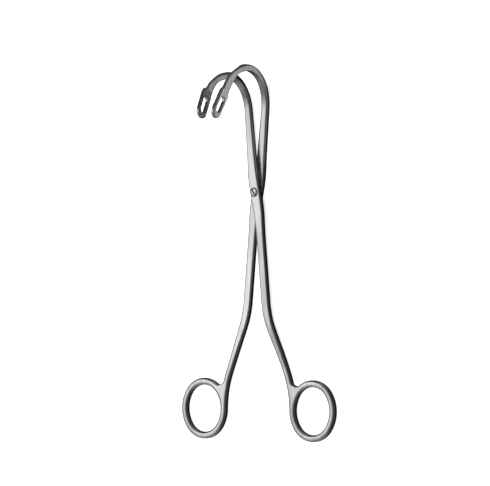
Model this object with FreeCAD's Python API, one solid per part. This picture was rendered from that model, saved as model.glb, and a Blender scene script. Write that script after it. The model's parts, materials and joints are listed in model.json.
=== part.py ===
import FreeCAD, Part
import math
import os

from FreeCAD import Vector

os.makedirs("parts", exist_ok=True)

# Full curve stone forceps with finger rings and a slotted screw joint.
# All sizes are in millimetres and degrees.
# The forceps lies on a flat surface: X is the opening direction, +Y points to
# the bows, +Z is the screw axis, and the origin is on that axis at the underside
# of the lower half. Each half is drawn as it lies when the jaws are closed, with
# its arm at +X, and is then turned about the screw to the pose it is stored in.

# Opening of the stored pose, for each half.
half_opening = 4.9

# Flat straps that cross and lie on each other at the joint.
strap_thickness = 3.3
lap_gap = 0.06
strap_edge_radius = 0.85
corner_flats = 3
shank_width = 4.7
joint_width = 6.1
arm_root_width = 5.1
arm_width = 4.1
shank_offset = 1.6
arm_offset = 0.4
joint_flat = 4.0
shank_shoulder = 18.0
arm_shoulder = 16.0
cross_below = 16.0
cross_above = 12.0

# Lower shanks: straight beside each other, then an S-shaped flare to the rings.
flare_start = 58.0
flare_angle = 14.5
drop_start = 66.0
drop_end = 96.0

# Finger rings: ovals of four tangent arcs, with the shank running into the side.
ring_side = 23.74
ring_below = 117.65
ring_tilt = 4.9
ring_hole_x = 20.8
ring_hole_y = 25.2
ring_end_radius = 9.4
ring_band = 3.7
ring_thickness = 3.8
ring_edge_radius = 1.25
crotch_radius = 2.4

# Bows: a quarter circle up to the crown, then a flatter arc down to the jaw.
# The bow of the upper half is the smaller one and nests inside the other.
lower_bow_start = 43.7
lower_bow_radius = 21.75
lower_crown_radius = 22.0
nesting_gap = 3.9
nesting_drop = 0.8
upper_crown_radius = 26.0
upper_neck_turn = 43.0
upper_neck_inset = 0.75
crest_depth = 3.75
crest_swell = 42.0
neck_depth = 6.2
neck_inlay = 0.07
side_by_side_turn = 30.0
deepening_turn = 22.0

# Jaws: slotted plates that meet face to face.
jaw_turn = 57.0
jaw_start = 4.5
jaw_thickness = 1.9
jaw_width = 7.8
jaw_length = 15.5
jaw_shoulder = 1.6
jaw_gap = 0.12
jaw_edge_radius = 0.6
slot_width = 3.9
slot_length = 9.6
slot_start = 2.8
tooth_pitch = 1.25
tooth_depth = 0.35
tooth_angle = 90.0

# Slotted countersunk screw, fast in the lower half.
screw_radius = 1.5
screw_head_radius = 2.3
screw_head_angle = 90.0
screw_head_rise = 0.4
screw_clearance = 0.05
driver_slot_width = 0.7
driver_slot_depth = 0.75
driver_slot_turn = -57.0

# Heights that follow from the sizes above.
lower_level = strap_thickness / 2
upper_level = strap_thickness + lap_gap + strap_thickness / 2
joint_height = 2 * strap_thickness + lap_gap
ring_level = ring_thickness / 2
neck_x = jaw_gap / 2 + jaw_thickness / 2
neck_thickness = jaw_thickness - 2 * neck_inlay
upper_bow_radius = lower_level + lower_bow_radius - nesting_drop - upper_level
upper_bow_start = lower_bow_start + lower_bow_radius - nesting_gap - upper_bow_radius


def ease(value, low, high):
    """Smooth step from 0 at low to 1 at high."""
    u = (value - low) / (high - low)
    u = max(0.0, min(1.0, u))
    return u * u * (3 - 2 * u)


def mix(first, second, share):
    return first + (second - first) * share


def bead(centre, along, across, width, depth, radius):
    """Section at right angles to along: a rectangle with its corners rounded off
    by corner_flats short flats each."""
    along = Vector(along).normalize()
    up = along.cross(across).normalize()
    side = up.cross(along).normalize()
    r = min(radius, 0.45 * width, 0.45 * depth)
    points = []
    for quarter in range(4):
        sa = 1 if quarter in (0, 3) else -1
        sb = 1 if quarter in (0, 1) else -1
        for i in range(corner_flats + 1):
            a = math.radians(90 * (quarter + i / corner_flats))
            points.append(centre + side * (sa * (width / 2 - r) + r * math.cos(a))
                          + up * (sb * (depth / 2 - r) + r * math.sin(a)))
    return Part.makePolygon(points + [points[0]])


def ring_frame():
    """Centre of the ring and its two directions, in the closed pose."""
    a = math.radians(ring_tilt)
    centre = Vector(-ring_side, -ring_below, 0)
    inward = Vector(math.cos(a), math.sin(a), 0)
    downward = Vector(math.sin(a), -math.cos(a), 0)
    return centre, inward, downward


def flare_frame():
    """The two equal arcs of the flare and the straight run between them.

    Gives the arc radius, the centres of the upper and lower arc, the ends of the
    straight run and its angle.
    """
    centre, inward, downward = ring_frame()
    angle = math.radians(flare_angle)
    across = Vector(-math.cos(angle), math.sin(angle), 0)
    top = Vector(-shank_offset, -flare_start, 0)
    foot = centre + inward * ((ring_hole_x + ring_band) / 2)
    ends = inward + Vector(1, 0, 0)
    radius = (top - foot).dot(across) / (2 + ends.dot(across))
    upper_centre = top - Vector(radius, 0, 0)
    lower_centre = foot + inward * radius
    run_top = upper_centre - across * radius
    run_foot = lower_centre + across * radius
    return radius, upper_centre, lower_centre, run_top, run_foot, angle


def arc_turn(hub, first, last):
    """Signed turn from first to last about hub, in degrees."""
    p = first - hub
    q = last - hub
    return math.degrees(math.atan2(p.x * q.y - p.y * q.x, p.x * q.x + p.y * q.y))


def band(hub, first, last, level):
    """Stretch of the ring's band along an arc about hub."""
    turn = arc_turn(hub, first, last)
    z = Vector(0, 0, 1)
    along = z.cross(first - hub) * (1 if turn > 0 else -1)
    up = Vector(0, 0, level)
    face = Part.Face(bead(first + up, along, first - hub, ring_band, ring_thickness,
                          ring_edge_radius))
    return face.revolve(hub, z, turn)


def oval():
    """Arc centres and joints of the band's oval of four tangent arcs."""
    centre, inward, downward = ring_frame()
    x = (ring_hole_x + ring_band) / 2
    y = (ring_hole_y + ring_band) / 2
    r = ring_end_radius + ring_band / 2
    side = (x * x + y * y - 2 * y * r) / (2 * (x - r))
    near = centre - inward * (side - x)
    far = centre + inward * (side - x)
    foot = centre + downward * (y - r)
    head = centre - downward * (y - r)
    joints = [end + (end - hub).normalize() * r
              for end, hub in ((foot, near), (foot, far), (head, far), (head, near))]
    return (near, foot, far, head), joints


def ring():
    """Oval finger ring that runs on into the foot of its shank."""
    centre, inward, downward = ring_frame()
    _, _, hub, _, run_foot, _ = flare_frame()
    hubs, joints = oval()
    tangent = centre + inward * ((ring_hole_x + ring_band) / 2)
    stretches = []
    for i in range(4):
        first = joints[i - 1]
        last = joints[i]
        middle = hubs[i] + ((first + last) * 0.5 - hubs[i]).normalize() \
            * (first - hubs[i]).Length
        stretches.append(band(hubs[i], first, middle, ring_level))
        stretches.append(band(hubs[i], middle, last, ring_level))
    foot = band(hub, run_foot, tangent, ring_level)
    return stretches[0].fuse(stretches[1:] + [foot, crotch()])


def crotch():
    """Fork where the shank's foot and the ring part: a rounded stretch of band
    between the two, and a web that fills the notch behind it."""
    radius, _, hub, _, _, _ = flare_frame()
    hubs, joints = oval()
    side, _, _, head = hubs
    end_radius = ring_end_radius + ring_band / 2
    s1 = radius + ring_band / 2 + crotch_radius
    s2 = end_radius + ring_band / 2 + crotch_radius
    d = (head - hub).Length
    u = (head - hub) * (1 / d)
    a = (s1 * s1 - s2 * s2 + d * d) / (2 * d)
    h = math.sqrt(s1 * s1 - a * a)
    spot = hub + u * a + Vector(u.y, -u.x, 0) * h
    p = hub + (spot - hub).normalize() * radius
    q = head + (spot - head).normalize() * end_radius
    fork = band(spot, p, q, ring_level)

    centre, inward, _ = ring_frame()
    tangent = centre + inward * ((ring_hole_x + ring_band) / 2)
    points = [p]
    for share in (0.35, 0.6):
        points.append(hub + ((p - hub) * (1 - share) + (tangent - hub) * share)
                      .normalize() * radius)
    side_radius = (tangent - side).Length
    turn = points[-1] - side
    points.append(side + turn.normalize() * side_radius)
    points += [joints[3], q]
    web = Part.Face(Part.makePolygon(points + [p])).extrude(Vector(0, 0, ring_thickness))
    return fork.fuse(web)


def shank_base(y, level):
    """Height of the shank's underside, which drops to the ring's."""
    return mix(level - strap_thickness / 2, 0, ease(-y, drop_start, drop_end))


def flare(level):
    """Lower shank between the ring's foot and the straight strap."""
    radius, hub, _, run_top, run_foot, angle = flare_frame()
    points = []
    for i in range(4):
        a = angle * i / 3
        points.append((hub + Vector(math.cos(a), -math.sin(a), 0) * radius,
                       Vector(-math.sin(a), -math.cos(a), 0)))
    for i in range(1, 7):
        points.append((run_top + (run_foot - run_top) * (i / 6), points[3][1]))
    sections = []
    reach = run_foot.y + flare_start
    for point, slope in points:
        share = ease((point.y + flare_start) / reach, 0, 1)
        depth = mix(strap_thickness, ring_thickness, share)
        point = Vector(point.x, point.y, shank_base(point.y, level) + depth / 2)
        rise = 0.5 * (shank_base(point.y + 1, level) - shank_base(point.y - 1, level))
        along = Vector(slope.x, slope.y, rise * slope.y)
        if share == 0 or share == 1:
            along = slope
        side = Vector(slope.y, -slope.x, 0)
        sections.append(bead(point, along, side, mix(shank_width, ring_band, share),
                             depth, mix(strap_edge_radius, ring_edge_radius, share)))
    return Part.makeLoft(sections, True, False)


def strap(level, top):
    """Flat strap through the joint, from the flare to the foot of the bow."""
    sections = []
    places = [-flare_start, -0.7 * flare_start, -shank_shoulder - joint_flat]
    reach = shank_shoulder / 4
    places += [-joint_flat - reach * i for i in (3, 2, 1, 0)]
    reach = arm_shoulder / 4
    places += [joint_flat + reach * i for i in (0, 1, 2, 3, 4)]
    places += [mix(arm_shoulder + joint_flat, top, 0.5), top]
    for y in places:
        x = mix(-shank_offset, arm_offset, ease(y, -cross_below, cross_above))
        if y < 0:
            base = shank_width
            share = ease(-y, joint_flat, joint_flat + shank_shoulder)
        else:
            base = mix(arm_root_width, arm_width,
                       max(0, (y - arm_shoulder) / (top - arm_shoulder)))
            share = ease(y, joint_flat, joint_flat + arm_shoulder)
        sections.append(bead(Vector(x, y, level), Vector(0, 1, 0), Vector(1, 0, 0),
                             mix(joint_width, base, share), strap_thickness,
                             strap_edge_radius))
    return Part.makeLoft(sections, True, True)


def bow(level, start, radius):
    """Quarter circle that lifts the arm to the crown and thickens on the way."""
    sections = []
    steps = 12
    for i in range(steps + 1):
        turn = 90 * i / steps
        a = math.radians(turn)
        centre = Vector(arm_offset, start + radius * math.sin(a),
                        level + radius * (1 - math.cos(a)))
        sections.append(bead(centre, Vector(0, math.cos(a), math.sin(a)), Vector(1, 0, 0),
                             arm_width, mix(strap_thickness, crest_depth,
                                 ease(turn, crest_swell, 90)),
                             strap_edge_radius))
    return Part.makeLoft(sections, True, True)


def crown(level, start, bow_radius, radius, last_turn, inset):
    """Arc from the crown down to the neck, drawn out to the jaw's thickness."""
    sections = []
    steps = 10
    top = start + bow_radius
    for i in range(steps + 1):
        turn = last_turn * i / steps
        a = math.radians(turn)
        centre = Vector(mix(arm_offset, neck_x, ease(turn, 0, side_by_side_turn)),
                        top - radius + radius * math.cos(a),
                        level + bow_radius + radius * math.sin(a))
        along = Vector(0, -math.sin(a), math.cos(a))
        width = mix(arm_width, neck_thickness, ease(turn, 0, side_by_side_turn))
        depth = mix(crest_depth, neck_depth, ease(turn, deepening_turn, jaw_turn))
        sections.append(bead(centre, along, Vector(1, 0, 0), width, depth,
                             strap_edge_radius))
    origin, along, outward = jaw_frame()
    foot = origin + along * jaw_shoulder - outward * inset + Vector(neck_x, 0, 0)
    sections.append(bead(foot, along, Vector(1, 0, 0), neck_thickness, neck_depth,
                         strap_edge_radius))
    return Part.makeLoft(sections, True, True)


def jaw_frame():
    """Shoulder point of the jaw, its direction and its outward side."""
    a = math.radians(jaw_turn)
    y = lower_bow_start + lower_bow_radius - lower_crown_radius
    y += lower_crown_radius * math.cos(a)
    z = lower_level + lower_bow_radius + lower_crown_radius * math.sin(a)
    along = Vector(0, -math.sin(a), math.cos(a))
    origin = Vector(0, y, z) + along * jaw_start
    outward = Vector(0, math.cos(a), math.sin(a))
    return origin, along, outward


def jaw():
    """Slotted jaw plate with its toothed face on the meeting plane."""
    origin, along, outward = jaw_frame()
    inner = jaw_gap / 2

    def at(a, b, x):
        return origin + along * a + outward * b + Vector(x, 0, 0)

    half = jaw_width / 2
    narrow = neck_depth / 2 - 0.25
    tip = jaw_length - half
    corners = [at(-jaw_shoulder, -narrow, inner), at(jaw_shoulder / 2, -half, inner),
               at(tip, -half, inner)]
    back = [at(tip, half, inner), at(jaw_shoulder / 2, half, inner),
            at(-jaw_shoulder, narrow, inner)]
    edges = [Part.LineSegment(corners[0], corners[1]).toShape(),
             Part.LineSegment(corners[1], corners[2]).toShape(),
             Part.Arc(corners[2], at(jaw_length, 0, inner), back[0]).toShape(),
             Part.LineSegment(back[0], back[1]).toShape(),
             Part.LineSegment(back[1], back[2]).toShape(),
             Part.LineSegment(back[2], corners[0]).toShape()]
    plate = Part.Face(Part.Wire(edges)).extrude(Vector(jaw_thickness, 0, 0))
    outer_x = inner + jaw_thickness
    rim = [e for e in plate.Edges
           if all(abs(v.X - outer_x) < 1e-6 for v in e.Vertexes)
           and (e.CenterOfMass - origin).dot(along) > -0.9 * jaw_shoulder]
    plate = plate.makeFillet(jaw_edge_radius, rim)

    r = slot_width / 2
    first = slot_start + r
    last = slot_start + slot_length - r
    below = inner - 1
    slot_edges = [Part.LineSegment(at(first, -r, below), at(last, -r, below)).toShape(),
                  Part.Arc(at(last, -r, below), at(last + r, 0, below),
                           at(last, r, below)).toShape(),
                  Part.LineSegment(at(last, r, below), at(first, r, below)).toShape(),
                  Part.Arc(at(first, r, below), at(first - r, 0, below),
                           at(first, -r, below)).toShape()]
    slot = Part.Face(Part.Wire(slot_edges)).extrude(Vector(jaw_thickness + 2, 0, 0))
    plate = plate.cut(slot)

    teeth = []
    spread = tooth_depth * math.tan(math.radians(tooth_angle / 2))
    place = tooth_pitch
    while place < jaw_length - 0.6 * tooth_pitch:
        points = [at(place - 2 * spread, -jaw_width, inner - tooth_depth),
                  at(place + 2 * spread, -jaw_width, inner - tooth_depth),
                  at(place, -jaw_width, inner + tooth_depth)]
        face = Part.Face(Part.makePolygon(points + [points[0]]))
        teeth.append(face.extrude(outward * (2 * jaw_width)))
        place += tooth_pitch
    return plate.cut(Part.makeCompound(teeth))


def half(level, bow_start, bow_radius, crown_radius, last_turn, inset):
    """One forged half with its arm at +X, in the closed pose."""
    pieces = [flare(level), strap(level, bow_start), bow(level, bow_start, bow_radius),
              crown(level, bow_start, bow_radius, crown_radius, last_turn, inset), jaw()]
    return ring().fuse(pieces)


def turned(shape, side):
    """Mirror the upper half, then open either half to the stored pose."""
    if side < 0:
        shape = shape.mirror(Vector(0, 0, 0), Vector(1, 0, 0))
    shape = shape.copy()
    shape.rotate(Vector(0, 0, 0), Vector(0, 0, 1), -side * half_opening)
    return shape


def screw():
    """Countersunk screw with a low domed head and a driver slot."""
    slope = math.tan(math.radians(screw_head_angle / 2))
    head_depth = (screw_head_radius - screw_radius) / slope
    top = joint_height
    dome_radius = (screw_head_radius ** 2 + screw_head_rise ** 2) / (2 * screw_head_rise)
    dome_middle = 0.5 * screw_head_radius
    drop = dome_radius - math.sqrt(dome_radius ** 2 - dome_middle ** 2)
    p = [Vector(0, 0, 0), Vector(screw_radius, 0, 0),
         Vector(screw_radius, 0, top - head_depth), Vector(screw_head_radius, 0, top),
         Vector(dome_middle, 0, top + screw_head_rise - drop),
         Vector(0, 0, top + screw_head_rise)]
    edges = [Part.LineSegment(p[0], p[1]).toShape(), Part.LineSegment(p[1], p[2]).toShape(),
             Part.LineSegment(p[2], p[3]).toShape(), Part.Arc(p[3], p[4], p[5]).toShape(),
             Part.LineSegment(p[5], p[0]).toShape()]
    body = Part.Face(Part.Wire(edges)).revolve(Vector(0, 0, 0), Vector(0, 0, 1), 360)
    blade = Part.makeBox(3 * screw_head_radius, driver_slot_width, 2 * driver_slot_depth)
    blade.translate(Vector(-1.5 * screw_head_radius, -driver_slot_width / 2,
                           top + screw_head_rise - driver_slot_depth))
    blade.rotate(Vector(0, 0, 0), Vector(0, 0, 1), driver_slot_turn)
    return body.cut(blade)


def screw_hole_lower():
    return Part.makeCylinder(screw_radius, strap_thickness + 2, Vector(0, 0, -1))


def screw_hole_upper():
    """Running bore with its countersink, one clearance larger than the screw."""
    slope = math.tan(math.radians(screw_head_angle / 2))
    r = screw_radius + screw_clearance
    reach = 1.0
    wide = screw_head_radius + screw_clearance + reach * slope
    depth = (wide - r) / slope
    hole = Part.makeCylinder(r, joint_height + 1, Vector(0, 0, strap_thickness - 1))
    sink = Part.makeCone(r, wide, depth, Vector(0, 0, joint_height + reach - depth))
    return hole.fuse(sink)


lower = half(lower_level, lower_bow_start, lower_bow_radius, lower_crown_radius,
             jaw_turn, 0)
upper = half(upper_level, upper_bow_start, upper_bow_radius, upper_crown_radius,
             upper_neck_turn, upper_neck_inset)
rear_half = turned(lower, 1).cut(screw_hole_lower())
front_half = turned(upper, -1).cut(screw_hole_upper())
pivot_screw = screw()

for name, shape in (("rear_half", rear_half), ("front_half", front_half),
                    ("pivot_screw", pivot_screw)):
    solids = shape.Solids
    solid = solids[0] if len(solids) == 1 else shape
    solid.exportStep("parts/" + name + ".step")
    box = solid.BoundBox
    print(name, "solids", len(solids), "valid", solid.isValid(),
          "volume", round(solid.Volume, 1),
          "box", [round(v, 2) for v in (box.XMin, box.XMax, box.YMin, box.YMax,
                                        box.ZMin, box.ZMax)])
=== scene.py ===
"""Visual model of a ring-handled stone forceps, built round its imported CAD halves."""

import json
import math

import bpy
from mathutils import Matrix, Vector

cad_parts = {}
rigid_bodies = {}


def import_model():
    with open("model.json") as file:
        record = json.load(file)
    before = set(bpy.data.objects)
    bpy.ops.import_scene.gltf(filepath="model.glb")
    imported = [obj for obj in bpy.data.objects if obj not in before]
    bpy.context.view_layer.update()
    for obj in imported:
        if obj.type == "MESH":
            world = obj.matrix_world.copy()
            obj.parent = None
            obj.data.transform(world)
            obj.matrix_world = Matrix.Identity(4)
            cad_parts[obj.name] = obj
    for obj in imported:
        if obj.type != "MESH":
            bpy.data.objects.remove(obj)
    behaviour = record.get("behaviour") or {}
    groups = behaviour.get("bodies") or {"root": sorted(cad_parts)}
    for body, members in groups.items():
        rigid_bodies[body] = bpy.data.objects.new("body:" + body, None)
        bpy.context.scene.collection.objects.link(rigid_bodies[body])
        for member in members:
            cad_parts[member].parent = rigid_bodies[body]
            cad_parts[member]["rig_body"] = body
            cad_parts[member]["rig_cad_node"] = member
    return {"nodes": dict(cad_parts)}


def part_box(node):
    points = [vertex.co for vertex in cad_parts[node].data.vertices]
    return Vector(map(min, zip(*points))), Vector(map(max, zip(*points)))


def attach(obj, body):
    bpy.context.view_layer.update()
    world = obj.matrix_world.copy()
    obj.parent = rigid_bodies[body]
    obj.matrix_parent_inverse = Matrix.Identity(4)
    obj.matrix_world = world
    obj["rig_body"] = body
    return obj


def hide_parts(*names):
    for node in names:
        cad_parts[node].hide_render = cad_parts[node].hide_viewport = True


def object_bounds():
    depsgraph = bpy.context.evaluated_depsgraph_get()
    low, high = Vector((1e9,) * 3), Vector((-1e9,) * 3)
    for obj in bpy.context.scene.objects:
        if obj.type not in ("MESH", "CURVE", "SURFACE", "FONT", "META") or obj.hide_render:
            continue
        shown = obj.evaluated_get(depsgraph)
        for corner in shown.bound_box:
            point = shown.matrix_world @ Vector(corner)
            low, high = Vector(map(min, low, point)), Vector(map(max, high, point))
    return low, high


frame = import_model()
CAD_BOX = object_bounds()
_, SCREW_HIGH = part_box("pivot_screw")

bl_info = {
    "name": "Stone Forceps",
    "version": (1, 0, 0),
    "blender": (4, 5, 0),
    "location": "View3D > Sidebar > Forceps",
    "description": "Finishes the forged halves and the pivot screw of a stone forceps on a stage",
    "category": "Object",
}

MM = 0.001

# CAD node, body, name and side of each half. Side 1 has its jaw at +X, side -1 at -X.
HALVES = (("rear_half", "lower", "rear_forging", 1),
          ("front_half", "upper", "front_forging", -1))

# Corners of a CAD mesh that are closer than this are one.
MERGE_DISTANCE = 0.002 * MM
# How far one polishing pass moves a point toward the middle of its neighbours.
POLISH_FACTOR = 0.5
# A face of the jaw is a tooth face if its normal has more than this share toward the other jaw.
TOOTH_FACING = 0.35

# The pivot screw, whose head fills its CAD box.
HEAD_RADIUS = SCREW_HIGH.x
HEAD_CREST = SCREW_HIGH.z
SCREW_SIDES = 72
DOME_RINGS = 6
# At 1 the dome is an ellipse. A higher power makes it rise more gently from the rim.
DOME_POWER = 1.6
# The blade that cuts the driver slot reaches past the head on both sides.
BLADE_LENGTH = 4 * HEAD_RADIUS
# Edges of the screw that turn more than this are rounded.
RIM_ANGLE = math.radians(35)
RIM_SEGMENTS = 3
# How much more a large face counts than a small one in the shading of the screw.
FLAT_WEIGHT = 80
# A little over half the slot's width, so that its walls count as inside it and get the painted slot
# shade.
SLOT_SHADE_REACH = 0.51

# Patterns in the metal: noise scale, stretch and detail. They run along Y, like the shanks.
HANDLING_CLOUDS = (60, (1, 0.35, 1), 4)
POLISHING_LINES = (2600, (1, 0.02, 1), 2)
POLISHING_STREAKS = (900, (1, 0.025, 1), 3)
TOOTH_SPECKS = (1800, (1, 1, 1), 3)
SCREW_SPECKS = (900, (1, 1, 1), 3)
SLOT_SPECKS = (1500, (1, 1, 1), 2)

# The part of a pattern's range that an effect is spread over.
COMMON_SPAN = (0.3, 0.7)
MARK_SPAN = (0.42, 0.72)
TOOTH_SPAN = (0.38, 0.62)

# Roughness, and how far the satin polish goes to each side of its mean.
SATIN_SPREAD = (-0.04, 0.06)
TOOTH_ROUGHNESS = (0.36, 0.5)
SCREW_ROUGHNESS = (0.2, 0.32)
SLOT_ROUGHNESS = 0.6
FLOOR_ROUGHNESS = 0.9
GRAIN_STRENGTH = 0.5

# What is left of the metal's colour in the darkest specks of the tooth faces, and in the painted
# shade at the screw's rim and in its slot.
TOOTH_DARK = 0.22
RIM_PAINTED_SHADE = 0.15
SLOT_PAINTED_SHADE = 0.08
# What is left of the slot's painted shade in its darkest specks.
SLOT_DEEPEST = 0.5
# Where the painted shade at the rim lies, as shares of the head's radius.
RIM_SHADE_BAND = (0.84, 0.97)

# Grey of the surround, from straight down at 0 to straight up at 1.
SURROUND = ((0.0, 0.008), (0.14, 0.02), (0.3, 0.32), (0.58, 0.4),
            (0.7, 0.28), (0.86, 0.16), (1.0, 0.3))

# Black cards in the surround, one at the right and one beyond the bows at the left: the way
# toward the card, the cosines to it at which it begins and is full, and the light it leaves.
CARDS = (((1, 0, 0), (0.0, 0.5), 0.2),
         ((-0.58, 0.81, 0), (0.76, 0.9), 0.08))

# The floor lies this far under the instrument, so that no two faces share a plane.
FLOOR_GAP = 0.02 * MM

# Soft boxes: name, target, way from the target to the box, distance, side, power and whether
# reflections see it. The flat straps reflect main_box to the camera. jaw_box lies under the
# floor, which reflections pass through. table_box only brightens the floor.
MIDDLE = Vector((0, -0.03, 0.01))
BELOW_JAWS = Vector((0.046, 0.045, CAD_BOX[0].z - 2 * MM))
SOFT_BOXES = (("main_box", MIDDLE, (-0.53, 0.15, 0.848), 1.6, 0.9, 3.0, True),
              ("ring_box", MIDDLE, (-0.53, -0.36, 0.848), 1.6, 0.7, 0.85, True),
              ("jaw_box", BELOW_JAWS, (0, 0, -1), 0, 0.06, 0.0062, True),
              ("table_box", MIDDLE, (0.1, 0, 1), 1.8, 1.6, 30, False))


# Sizes and colours that a user would change.

class ForcepsSteelSettings(bpy.types.PropertyGroup):
    """Steel of the forged halves and the way they are polished"""
    colour: bpy.props.FloatVectorProperty(
        name="Steel Colour", description="Base colour of the satin polished halves",
        subtype="COLOR", size=3, min=0, max=1, default=(0.70, 0.70, 0.705))
    shade: bpy.props.FloatVectorProperty(
        name="Tarnish Colour", description="Colour of the faint handling marks on the steel",
        subtype="COLOR", size=3, min=0, max=1, default=(0.58, 0.58, 0.585))
    roughness: bpy.props.FloatProperty(
        name="Roughness", description="Mean roughness of the satin polish",
        subtype="FACTOR", min=0, max=1, default=0.27)
    streaks: bpy.props.FloatProperty(
        name="Streaks", description="How much the polishing streaks darken the steel",
        subtype="FACTOR", min=0, max=1, default=0.22)
    grain: bpy.props.FloatProperty(
        name="Grain Depth", description="Depth of the polishing lines along the shanks",
        subtype="DISTANCE", unit="LENGTH", min=0, default=0.004 * MM, precision=6)
    tooth_colour: bpy.props.FloatVectorProperty(
        name="Tooth Colour", description="Base colour of the ground tooth faces",
        subtype="COLOR", size=3, min=0, max=1, default=(0.56, 0.56, 0.57))
    fine_grid: bpy.props.FloatProperty(
        name="Fine Grid", description="Size of the even facets that the forgings are redrawn with",
        subtype="DISTANCE", unit="LENGTH", min=0, default=0.245 * MM, precision=5)
    polish_passes: bpy.props.IntProperty(
        name="Polish Passes", description="Smoothing passes that round the edges as polishing does",
        min=0, default=18)


class ForcepsJawSettings(bpy.types.PropertyGroup):
    """Where the jaws are, so that they keep their teeth and get their own finish"""
    opening: bpy.props.FloatProperty(
        name="Half Opening", description="Turn of each half from the closed to the stored pose",
        subtype="ANGLE", unit="ROTATION", default=math.radians(4.9))
    jaw_turn: bpy.props.FloatProperty(
        name="Jaw Turn", description="Turn of the crown at which the jaw leaves it",
        subtype="ANGLE", unit="ROTATION", default=math.radians(57))
    root: bpy.props.FloatVectorProperty(
        name="Jaw Root", description="Where the neck runs into the jaw, in the closed pose",
        subtype="XYZ", unit="LENGTH", size=3, default=(0, 53.2 * MM, 43.3 * MM), precision=4)
    polish_share: bpy.props.FloatProperty(
        name="Polish Share", description="Share of the edge rounding that the jaws get",
        subtype="FACTOR", min=0, max=1, default=0.1)
    root_height: bpy.props.FloatProperty(
        name="Root Height", description="Height above which all that lies past the root is jaw",
        subtype="DISTANCE", unit="LENGTH", default=30 * MM, precision=4)
    face_reach: bpy.props.FloatProperty(
        name="Face Reach", description="Depth from the meeting plane that counts as tooth face",
        subtype="DISTANCE", unit="LENGTH", min=0, default=0.55 * MM, precision=5)


class ForcepsScrewSettings(bpy.types.PropertyGroup):
    """Shape and colour of the pivot screw"""
    shank_radius: bpy.props.FloatProperty(
        name="Shank Radius", description="Radius of the screw's shank",
        subtype="DISTANCE", unit="LENGTH", default=1.5 * MM, precision=5)
    head_rise: bpy.props.FloatProperty(
        name="Head Rise", description="Height of the head's dome above the strap",
        subtype="DISTANCE", unit="LENGTH", default=0.4 * MM, precision=5)
    slot_width: bpy.props.FloatProperty(
        name="Slot Width", description="Width of the driver slot",
        subtype="DISTANCE", unit="LENGTH", default=0.7 * MM, precision=5)
    slot_depth: bpy.props.FloatProperty(
        name="Slot Depth", description="Depth of the driver slot below the dome's top",
        subtype="DISTANCE", unit="LENGTH", default=0.75 * MM, precision=5)
    slot_turn: bpy.props.FloatProperty(
        name="Slot Turn", description="Direction of the driver slot about the screw's axis",
        subtype="ANGLE", unit="ROTATION", default=math.radians(-57))
    edge_round: bpy.props.FloatProperty(
        name="Edge Round", description="Radius on the rims of the head and the slot",
        subtype="DISTANCE", unit="LENGTH", default=0.06 * MM, precision=5)
    smooth_angle: bpy.props.FloatProperty(
        name="Smooth Angle", description="Steepest edge of the screw that is shaded as a curve",
        subtype="ANGLE", unit="ROTATION", min=0, max=math.pi, default=math.radians(40))
    colour: bpy.props.FloatVectorProperty(
        name="Screw Colour", description="Base colour of the polished screw",
        subtype="COLOR", size=3, min=0, max=1, default=(0.60, 0.60, 0.605))


class ForcepsStageSettings(bpy.types.PropertyGroup):
    """Camera and floor"""
    camera_turn: bpy.props.FloatProperty(
        name="Camera Turn", description="How far the camera stands off the upright, to the right",
        subtype="ANGLE", unit="ROTATION", default=math.radians(32))
    camera_distance: bpy.props.FloatProperty(
        name="Camera Distance", description="Distance from the camera to the point it looks at",
        subtype="DISTANCE", unit="LENGTH", default=1.9)
    frame_width: bpy.props.FloatProperty(
        name="Frame Width", description="Width that the picture takes in at the object",
        subtype="DISTANCE", unit="LENGTH", default=0.2597, precision=4)
    look_at: bpy.props.FloatVectorProperty(
        name="Look At", description="Point at the middle of the picture",
        subtype="XYZ", unit="LENGTH", size=3, default=(-0.0054, -0.0268, 0.0067), precision=4)
    floor_size: bpy.props.FloatProperty(
        name="Floor Size", description="Side of the square floor",
        subtype="DISTANCE", unit="LENGTH", default=6.0)
    floor_colour: bpy.props.FloatVectorProperty(
        name="Floor Colour", description="Colour of the plain pale floor",
        subtype="COLOR", size=3, min=0, max=1, default=(0.94, 0.94, 0.94))
    floor_glow: bpy.props.FloatProperty(
        name="Floor Glow", description="Light that the floor gives off, as a backlit table does",
        min=0, default=0.7)


# Materials.

def new_material(name):
    """Empty node material, with its tree and its surface shader."""
    material = bpy.data.materials.new(name)
    material.use_nodes = True
    tree = material.node_tree
    tree.nodes.clear()
    output = tree.nodes.new("ShaderNodeOutputMaterial")
    shader = tree.nodes.new("ShaderNodeBsdfPrincipled")
    tree.links.new(shader.outputs["BSDF"], output.inputs["Surface"])
    return material, tree, shader


def new_metal(name):
    """Bare metal, with its tree, its shader and the coordinates for its patterns."""
    material, tree, shader = new_material(name)
    shader.inputs["Metallic"].default_value = 1
    return material, tree, shader, tree.nodes.new("ShaderNodeTexCoord")


def noise(tree, coords, scale, stretch, detail):
    """Noise on the object's own coordinates. A small stretch draws it out along that axis."""
    mapping = tree.nodes.new("ShaderNodeMapping")
    mapping.inputs["Scale"].default_value = stretch
    texture = tree.nodes.new("ShaderNodeTexNoise")
    texture.inputs["Scale"].default_value = scale
    texture.inputs["Detail"].default_value = detail
    tree.links.new(coords.outputs["Object"], mapping.inputs["Vector"])
    tree.links.new(mapping.outputs["Vector"], texture.inputs["Vector"])
    return texture.outputs["Fac"]


def remap(tree, value, span, new_span):
    """Carries a value from one span over to another, and holds it at the ends."""
    node = tree.nodes.new("ShaderNodeMapRange")
    node.inputs["From Min"].default_value, node.inputs["From Max"].default_value = span
    node.inputs["To Min"].default_value, node.inputs["To Max"].default_value = new_span
    tree.links.new(value, node.inputs["Value"])
    return node.outputs["Result"]


def blend_colours(tree, share, first, second):
    """First colour where the share is 0, second where it is 1."""
    node = tree.nodes.new("ShaderNodeMix")
    node.data_type = "RGBA"
    node.inputs["A"].default_value = (*first, 1)
    node.inputs["B"].default_value = (*second, 1)
    tree.links.new(share, node.inputs["Factor"])
    return node.outputs["Result"]


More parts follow.
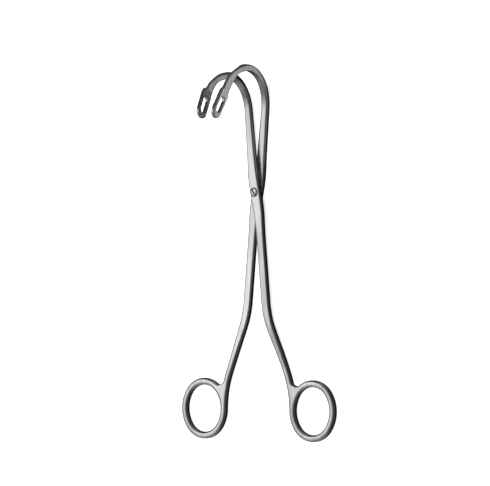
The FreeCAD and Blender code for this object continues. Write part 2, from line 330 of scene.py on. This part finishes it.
def dim_colour(tree, colour, light):
    """Colour multiplied by a grey."""
    node = tree.nodes.new("ShaderNodeMix")
    node.data_type = "RGBA"
    node.blend_type = "MULTIPLY"
    node.inputs["Factor"].default_value = 1
    tree.links.new(colour, node.inputs["A"])
    tree.links.new(light, node.inputs["B"])
    return node.outputs["Result"]


def darker(colour, share):
    """The given share of a colour."""
    return tuple(share * channel for channel in colour)


def satin_steel(settings):
    """Satin polished stainless steel with fine lines along the instrument."""
    material, tree, shader, coords = new_metal("satin_steel")
    clouds = noise(tree, coords, *HANDLING_CLOUDS)
    lines = noise(tree, coords, *POLISHING_LINES)
    streaks = noise(tree, coords, *POLISHING_STREAKS)
    marks = remap(tree, clouds, MARK_SPAN, (0, 1))
    steel = blend_colours(tree, marks, settings.colour, settings.shade)
    light = remap(tree, streaks, COMMON_SPAN, (1 - settings.streaks, 1))
    tree.links.new(dim_colour(tree, steel, light), shader.inputs["Base Color"])
    roughness = [settings.roughness + spread for spread in SATIN_SPREAD]
    tree.links.new(remap(tree, clouds, COMMON_SPAN, roughness), shader.inputs["Roughness"])
    bump = tree.nodes.new("ShaderNodeBump")
    bump.inputs["Strength"].default_value = GRAIN_STRENGTH
    bump.inputs["Distance"].default_value = settings.grain
    tree.links.new(lines, bump.inputs["Height"])
    tree.links.new(bump.outputs["Normal"], shader.inputs["Normal"])
    return material


def tooth_steel(settings):
    """Ground steel of the gripping faces, duller than the polish round them."""
    material, tree, shader, coords = new_metal("tooth_steel")
    specks = noise(tree, coords, *TOOTH_SPECKS)
    share = remap(tree, specks, TOOTH_SPAN, (0, 1))
    dark = darker(settings.tooth_colour, TOOTH_DARK)
    tree.links.new(blend_colours(tree, share, settings.tooth_colour, dark),
                   shader.inputs["Base Color"])
    tree.links.new(remap(tree, specks, COMMON_SPAN, TOOTH_ROUGHNESS), shader.inputs["Roughness"])
    return material


def screw_steel(settings):
    """Polished screw, with painted shade round its rim."""
    material, tree, shader, coords = new_metal("screw_steel")
    specks = noise(tree, coords, *SCREW_SPECKS)
    flat = tree.nodes.new("ShaderNodeVectorMath")
    flat.operation = "MULTIPLY"
    flat.inputs[1].default_value = (1, 1, 0)
    reach = tree.nodes.new("ShaderNodeVectorMath")
    reach.operation = "LENGTH"
    tree.links.new(coords.outputs["Object"], flat.inputs[0])
    tree.links.new(flat.outputs["Vector"], reach.inputs[0])
    # Painted shade: the screw's colour darkens toward the rim of its head.
    band = [share * HEAD_RADIUS for share in RIM_SHADE_BAND]
    rim_shade_share = remap(tree, reach.outputs["Value"], band, (0, 1))
    dark = darker(settings.colour, RIM_PAINTED_SHADE)
    tree.links.new(blend_colours(tree, rim_shade_share, settings.colour, dark),
                   shader.inputs["Base Color"])
    tree.links.new(remap(tree, specks, COMMON_SPAN, SCREW_ROUGHNESS), shader.inputs["Roughness"])
    return material


def painted_slot_shade(settings):
    """Painted shade inside the driver slot, as dull dark metal."""
    material, tree, shader, coords = new_metal("painted_slot_shade")
    specks = noise(tree, coords, *SLOT_SPECKS)
    # Painted shade: the slot's faces are coloured dark, with darker specks.
    dark = darker(settings.colour, SLOT_PAINTED_SHADE)
    tree.links.new(blend_colours(tree, specks, dark, darker(dark, SLOT_DEEPEST)),
                   shader.inputs["Base Color"])
    shader.inputs["Roughness"].default_value = SLOT_ROUGHNESS
    return material


def pale_floor(settings):
    """Plain matt floor that gives off some light of its own."""
    material, _, shader = new_material("pale_floor")
    shader.inputs["Base Color"].default_value = (*settings.floor_colour, 1)
    shader.inputs["Emission Color"].default_value = (1, 1, 1, 1)
    shader.inputs["Emission Strength"].default_value = settings.floor_glow
    shader.inputs["Roughness"].default_value = FLOOR_ROUGHNESS
    return material


# Tools that the pieces share.

def deselect_all():
    """Leaves edit mode and selects nothing."""
    if bpy.context.object and bpy.context.object.mode != "OBJECT":
        bpy.ops.object.mode_set(mode="OBJECT")
    bpy.ops.object.select_all(action="DESELECT")


def take_hold(piece):
    """Makes the piece the only selected and the active object."""
    deselect_all()
    piece.select_set(True)
    bpy.context.view_layer.objects.active = piece


def context_object(name):
    """The object that the last operator made, under its own name."""
    piece = bpy.context.object
    piece.name = name
    piece.data.name = name
    return piece


def apply_modifier(piece, modifier):
    """Makes the modifier's result the piece's own mesh."""
    take_hold(piece)
    bpy.ops.object.modifier_apply(modifier=modifier.name)


# The forged halves.

def copy_of_node(node, name):
    """Merged copy of a CAD node under its own name."""
    take_hold(frame["nodes"][node])
    bpy.ops.object.duplicate()
    piece = context_object(name)
    piece.parent = None
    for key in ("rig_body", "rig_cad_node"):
        if key in piece:
            del piece[key]
    bpy.ops.object.mode_set(mode="EDIT")
    bpy.ops.mesh.select_all(action="SELECT")
    bpy.ops.mesh.remove_doubles(threshold=MERGE_DISTANCE)
    bpy.ops.object.mode_set(mode="OBJECT")
    return piece


def jaw_test(side, jaws):
    """Test that tells whether a point of a half belongs to its jaw, in the stored pose."""
    turn = Matrix.Rotation(-side * jaws.opening, 3, "Z")
    root = turn @ Vector(jaws.root)
    along = turn @ Vector((0, -math.sin(jaws.jaw_turn), math.cos(jaws.jaw_turn)))
    return lambda point: (point - root).dot(along) > 0 and point.z > jaws.root_height


def polish_body(piece, side, settings, jaws):
    """Redraws a forging with even facets and rounds its edges like a polishing wheel."""
    grid = piece.modifiers.new("Fine Grid", "REMESH")
    grid.mode = "VOXEL"
    grid.voxel_size = settings.fine_grid
    apply_modifier(piece, grid)
    in_jaw = jaw_test(side, jaws)
    wheel = piece.vertex_groups.new(name="polish")
    body = []
    jaw = []
    for vertex in piece.data.vertices:
        (jaw if in_jaw(vertex.co) else body).append(vertex.index)
    wheel.add(body, 1, "REPLACE")
    wheel.add(jaw, jaws.polish_share, "REPLACE")
    polish = piece.modifiers.new("Polish", "SMOOTH")
    polish.factor = POLISH_FACTOR
    polish.iterations = settings.polish_passes
    polish.vertex_group = wheel.name
    apply_modifier(piece, polish)
    piece.vertex_groups.clear()
    bpy.ops.object.shade_smooth()


def paint_teeth(piece, side, jaws, material):
    """Gives the gripping face of the jaw its ground finish."""
    piece.data.materials.append(material)
    slot = len(piece.data.materials) - 1
    in_jaw = jaw_test(side, jaws)
    inward = Vector((-side * math.cos(jaws.opening), math.sin(jaws.opening), 0))
    for face in piece.data.polygons:
        near = abs(face.center.dot(inward)) < jaws.face_reach
        if near and in_jaw(face.center) and face.normal.dot(inward) > TOOTH_FACING:
            face.material_index = slot


class FORCEPS_OT_forgings(bpy.types.Operator):
    """Finish the two forged halves, from the finger ring to the slotted jaw"""
    bl_idname = "forceps.forgings"
    bl_label = "Finish Forgings"

    def execute(self, context):
        settings = context.scene.forceps_steel
        jaws = context.scene.forceps_jaws
        steel = satin_steel(settings)
        teeth = tooth_steel(settings)
        for node, body, name, side in HALVES:
            piece = copy_of_node(node, name)
            polish_body(piece, side, settings, jaws)
            piece.data.materials.clear()
            piece.data.materials.append(steel)
            paint_teeth(piece, side, jaws, teeth)
            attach(piece, body)
            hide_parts(node)
        return {"FINISHED"}


# The pivot screw.

class FORCEPS_OT_pivot_screw(bpy.types.Operator):
    """Model the countersunk pivot screw with its domed, slotted head"""
    bl_idname = "forceps.pivot_screw"
    bl_label = "Model Pivot Screw"

    def execute(self, context):
        settings = context.scene.forceps_screw
        piece = self.turned_body(settings)
        self.cut_slot(piece, settings)
        self.round_rims(piece, settings)
        self.paint(piece, settings)
        self.smooth(piece, settings)
        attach(piece, "lower")
        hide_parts("pivot_screw")
        return {"FINISHED"}

    def turned_body(self, settings):
        """Shank, countersink and dome, drawn up ring by ring from a circle."""
        top = HEAD_CREST - settings.head_rise
        head_depth = HEAD_RADIUS - settings.shank_radius
        rings = [(settings.shank_radius, top - head_depth), (HEAD_RADIUS, top)]
        for i in range(1, DOME_RINGS):
            turn = 0.5 * math.pi * i / DOME_RINGS
            rings.append((HEAD_RADIUS * math.cos(turn),
                          top + settings.head_rise * math.sin(turn) ** DOME_POWER))
        deselect_all()
        bpy.ops.mesh.primitive_circle_add(vertices=SCREW_SIDES, radius=settings.shank_radius,
                                          fill_type="NGON", location=(0, 0, 0))
        piece = context_object("pivot_screw_turned")
        bpy.ops.object.mode_set(mode="EDIT")
        bpy.ops.mesh.select_all(action="SELECT")
        radius = settings.shank_radius
        height = 0
        for next_radius, next_height in rings:
            bpy.ops.mesh.extrude_region_move(
                TRANSFORM_OT_translate={"value": (0, 0, next_height - height)})
            share = next_radius / radius
            bpy.ops.transform.resize(value=(share, share, 1))
            radius = next_radius
            height = next_height
        bpy.ops.mesh.poke()
        bpy.ops.mesh.select_all(action="SELECT")
        bpy.ops.mesh.normals_make_consistent(inside=False)
        bpy.ops.object.mode_set(mode="OBJECT")
        return piece

    def cut_slot(self, piece, settings):
        """Sinks the driver slot into the head with the lower half of a blade."""
        deselect_all()
        bpy.ops.mesh.primitive_cube_add(size=1, location=(0, 0, HEAD_CREST),
                                        rotation=(0, 0, settings.slot_turn))
        blade = context_object("slot_blade")
        blade.scale = (BLADE_LENGTH, settings.slot_width, 2 * settings.slot_depth)
        take_hold(blade)
        bpy.ops.object.transform_apply(location=True, rotation=True, scale=True)
        cut = piece.modifiers.new("Driver Slot", "BOOLEAN")
        cut.operation = "DIFFERENCE"
        cut.solver = "EXACT"
        cut.object = blade
        apply_modifier(piece, cut)
        bpy.data.objects.remove(blade)

    def round_rims(self, piece, settings):
        """Takes the sharp edges off the head and the slot."""
        bevel = piece.modifiers.new("Edges", "BEVEL")
        bevel.width = settings.edge_round
        bevel.segments = RIM_SEGMENTS
        bevel.limit_method = "ANGLE"
        bevel.angle_limit = RIM_ANGLE
        apply_modifier(piece, bevel)

    def paint(self, piece, settings):
        """Polished metal all over, with painted shade on the slot's floor and walls."""
        piece.data.materials.append(screw_steel(settings))
        piece.data.materials.append(painted_slot_shade(settings))
        slot = len(piece.data.materials) - 1
        across = Vector((-math.sin(settings.slot_turn), math.cos(settings.slot_turn), 0))
        floor = HEAD_CREST - settings.slot_depth
        # Faces on the slot's floor and walls get the painted slot shade.
        for face in piece.data.polygons:
            inside = abs(face.center.dot(across)) < SLOT_SHADE_REACH * settings.slot_width
            if inside and face.center.z > floor - settings.edge_round:
                face.material_index = slot

    def smooth(self, piece, settings):
        """Shades rounded corners as curves and leaves the broad flats flat."""
        take_hold(piece)
        bpy.ops.object.shade_smooth_by_angle(angle=settings.smooth_angle)
        weight = piece.modifiers.new("Even Normals", "WEIGHTED_NORMAL")
        weight.keep_sharp = True
        weight.weight = FLAT_WEIGHT
        apply_modifier(piece, weight)


# The stage.

class FORCEPS_OT_stage(bpy.types.Operator):
    """Lay the floor, set the lights and place the camera"""
    bl_idname = "forceps.stage"
    bl_label = "Set Stage"

    def execute(self, context):
        settings = context.scene.forceps_stage
        self.lay_floor(settings)
        self.light_world(context.scene)
        self.hang_lights(context.scene)
        self.place_camera(context.scene, settings)
        return {"FINISHED"}

    def lay_floor(self, settings):
        """Floor just under the instrument, which leaves no reflection in it."""
        deselect_all()
        bpy.ops.mesh.primitive_plane_add(size=settings.floor_size,
                                         location=(0, 0, CAD_BOX[0].z - FLOOR_GAP))
        floor = context_object("floor")
        bpy.ops.object.transform_apply(location=True, rotation=True, scale=True)
        floor.data.materials.append(pale_floor(settings))
        floor.visible_glossy = False

    def light_world(self, scene):
        """Dim surround with a soft band at the horizon and two black cards."""
        world = bpy.data.worlds.new("studio")
        world.use_nodes = True
        scene.world = world
        tree = world.node_tree
        background = tree.nodes["Background"]
        coords = tree.nodes.new("ShaderNodeTexCoord")
        split = tree.nodes.new("ShaderNodeSeparateXYZ")
        ramp = tree.nodes.new("ShaderNodeValToRGB")
        tree.links.new(coords.outputs["Generated"], split.inputs["Vector"])
        height = remap(tree, split.outputs["Z"], (-1, 1), (0, 1))
        tree.links.new(height, ramp.inputs["Fac"])
        tree.links.new(ramp.outputs["Color"], background.inputs["Color"])
        stops = ramp.color_ramp.elements
        while len(stops) < len(SURROUND):
            stops.new(0.5)    # The loop below moves it to its place.
        for stop, (place, grey) in zip(stops, SURROUND):
            stop.position = place
            stop.color = (grey, grey, grey, 1)
        both = tree.nodes.new("ShaderNodeMath")
        both.operation = "MULTIPLY"
        for socket, (toward, span, least) in zip(both.inputs, CARDS):
            facing = tree.nodes.new("ShaderNodeVectorMath")
            facing.operation = "DOT_PRODUCT"
            facing.inputs[1].default_value = toward
            tree.links.new(coords.outputs["Generated"], facing.inputs[0])
            tree.links.new(remap(tree, facing.outputs["Value"], span, (1, least)), socket)
        tree.links.new(both.outputs["Value"], background.inputs["Strength"])

    def hang_lights(self, scene):
        """Square soft boxes, none of which the camera sees itself."""
        for name, target, way, distance, side, power, reflected in SOFT_BOXES:
            lamp = bpy.data.lights.new(name, "AREA")
            lamp.shape = "SQUARE"
            lamp.size = side
            lamp.energy = power
            light = bpy.data.objects.new(name, lamp)
            scene.collection.objects.link(light)
            direction = Vector(way).normalized()
            light.location = target + direction * distance
            light.rotation_mode = "QUATERNION"
            light.rotation_quaternion = direction.to_track_quat("Z", "Y")
            light.visible_camera = False
            light.visible_glossy = reflected

    def place_camera(self, scene, settings):
        """Camera that looks down from the right, so far off that it sees almost parallel."""
        back = Vector((math.sin(settings.camera_turn), 0, math.cos(settings.camera_turn)))
        camera = bpy.data.cameras.new("camera")
        camera.sensor_width = 36
        camera.lens = camera.sensor_width * settings.camera_distance / settings.frame_width
        camera.clip_start = 0.1
        camera.clip_end = 20
        holder = bpy.data.objects.new("camera", camera)
        scene.collection.objects.link(holder)
        holder.location = Vector(settings.look_at) + back * settings.camera_distance
        holder.rotation_euler = (0, settings.camera_turn, 0)
        scene.camera = holder
        scene.view_settings.view_transform = "Standard"


class FORCEPS_PT_panel(bpy.types.Panel):
    """Forceps tools in the 3D view's sidebar"""
    bl_idname = "FORCEPS_PT_panel"
    bl_label = "Stone Forceps"
    bl_space_type = "VIEW_3D"
    bl_region_type = "UI"
    bl_category = "Forceps"

    def draw(self, context):
        layout = self.layout
        scene = context.scene
        for operator, groups in (("forceps.forgings", (scene.forceps_steel, scene.forceps_jaws)),
                                 ("forceps.pivot_screw", (scene.forceps_screw,)),
                                 ("forceps.stage", (scene.forceps_stage,))):
            box = layout.box()
            for group in groups:
                for name in group.__annotations__:
                    box.prop(group, name)
            box.operator(operator)


CLASSES = (ForcepsSteelSettings, ForcepsJawSettings, ForcepsScrewSettings,
           ForcepsStageSettings, FORCEPS_OT_forgings, FORCEPS_OT_pivot_screw,
           FORCEPS_OT_stage, FORCEPS_PT_panel)


def register():
    for cls in CLASSES:
        bpy.utils.register_class(cls)
    bpy.types.Scene.forceps_steel = bpy.props.PointerProperty(type=ForcepsSteelSettings)
    bpy.types.Scene.forceps_jaws = bpy.props.PointerProperty(type=ForcepsJawSettings)
    bpy.types.Scene.forceps_screw = bpy.props.PointerProperty(type=ForcepsScrewSettings)
    bpy.types.Scene.forceps_stage = bpy.props.PointerProperty(type=ForcepsStageSettings)


def unregister():
    del bpy.types.Scene.forceps_steel
    del bpy.types.Scene.forceps_jaws
    del bpy.types.Scene.forceps_screw
    del bpy.types.Scene.forceps_stage
    for cls in reversed(CLASSES):
        bpy.utils.unregister_class(cls)


def main():
    register()
    bpy.ops.forceps.forgings()
    bpy.ops.forceps.pivot_screw()
    bpy.ops.forceps.stage()


if __name__ == "__main__":
    main()
